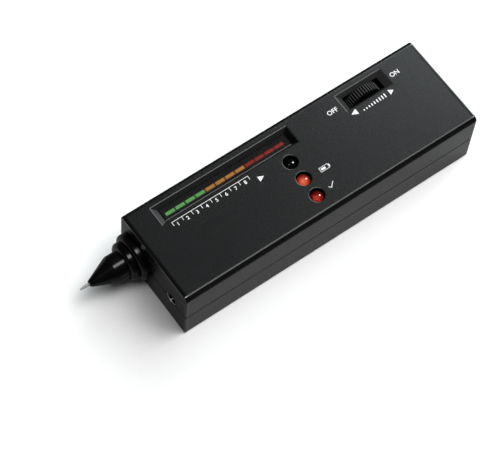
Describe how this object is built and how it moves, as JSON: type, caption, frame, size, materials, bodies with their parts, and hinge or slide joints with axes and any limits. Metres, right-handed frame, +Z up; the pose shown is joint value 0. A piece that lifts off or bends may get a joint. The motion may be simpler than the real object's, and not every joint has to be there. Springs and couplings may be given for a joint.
{
  "type": "diamond tester",
  "caption": "Hand-held thermal diamond tester: flat black case, sprung metal probe pin, light bar behind a window, lamps and a ribbed on/off volume thumbwheel.",
  "frame": {"origin": "centre of the flat underside of the case, without the probe", "axes": "+X to the rear, the probe points along -X; +Z up through the top face; -Y is the near long side, beside the power socket"},
  "size_m": [0.1424, 0.0376, 0.0259],
  "materials": {
    "case_plastic": "satin, very fine moulded grain",
    "smoked_lens": "smoked, polished",
    "black_plastic": "moulded, matt",
    "green_segment": "lit from inside",
    "orange_segment": "lit from inside",
    "red_segment": "lit from inside",
    "dark_lamp": "unlit, polished",
    "lit_lamp": "lit from inside, polished",
    "red_lamp": "lit from inside, polished",
    "wheel_plastic": "moulded, satin",
    "steel": "turned",
    "screw_steel": "zinc plated",
    "plated_metal": "bright plated",
    "circuit_board": "coated laminate",
    "resistor_coat": "lacquered",
    "can_metal": "sleeved can",
    "battery_wrap": "printed steel jacket, plain",
    "gloss_black": "polished black",
    "brass": "turned",
    "heater_body": "unglazed ceramic"
  },
  "bodies": {
    "case": {"top_shell": "case_plastic", "bottom_shell": "case_plastic", "display_lens": "smoked_lens", "segment_holder": "black_plastic", "potentiometer": "black_plastic", "header_strip": "black_plastic", "driver_chips": "black_plastic", "buzzer": "black_plastic", "jack_body": "black_plastic", "green_segments": "green_segment", "orange_segments": "orange_segment", "red_segments": "red_segment", "alert_lamp": "dark_lamp", "battery_lamp": "lit_lamp", "ready_lamp": "red_lamp", "probe_spring": "steel", "shell_screws": "screw_steel", "display_screws": "screw_steel", "main_screws": "screw_steel", "jack_sleeve": "plated_metal", "potentiometer_pins": "plated_metal", "header_pins": "plated_metal", "jack_pins": "plated_metal", "battery_terminals": "plated_metal", "battery_contacts": "plated_metal", "display_board": "circuit_board", "main_board": "circuit_board", "contact_plate": "circuit_board", "resistors": "resistor_coat", "capacitors": "can_metal", "battery": "battery_wrap", "probe_collar": "gloss_black", "nose_cone": "gloss_black", "probe_nut": "brass", "guide_tube": "brass", "end_plug": "brass"},
    "wheel": {"volume_wheel": "wheel_plastic", "wheel_shaft": "steel"},
    "probe_tip": {"probe_pin": "steel", "heater": "heater_body"},
    "cover": {"battery_cover": "case_plastic"}
  },
  "joints": [
    {"name": "volume_turn", "type": "hinge", "parent": "case", "child": "wheel", "pos_m": [0.0347, 0.01175, 0.01907], "axis": [0, 1, 0], "range_deg": [-140, 140]},
    {"name": "probe_press", "type": "slide", "parent": "case", "child": "probe_tip", "axis": [1, 0, 0], "range_m": [0, 0.0012], "stiffness_N_per_m": 350, "springref_m": -0.0012, "deforming": ["probe_spring"]},
    {"name": "cover_slide", "type": "slide", "parent": "case", "child": "cover", "axis": [1, 0, 0], "range_m": [0, 0.052]}
  ]
}
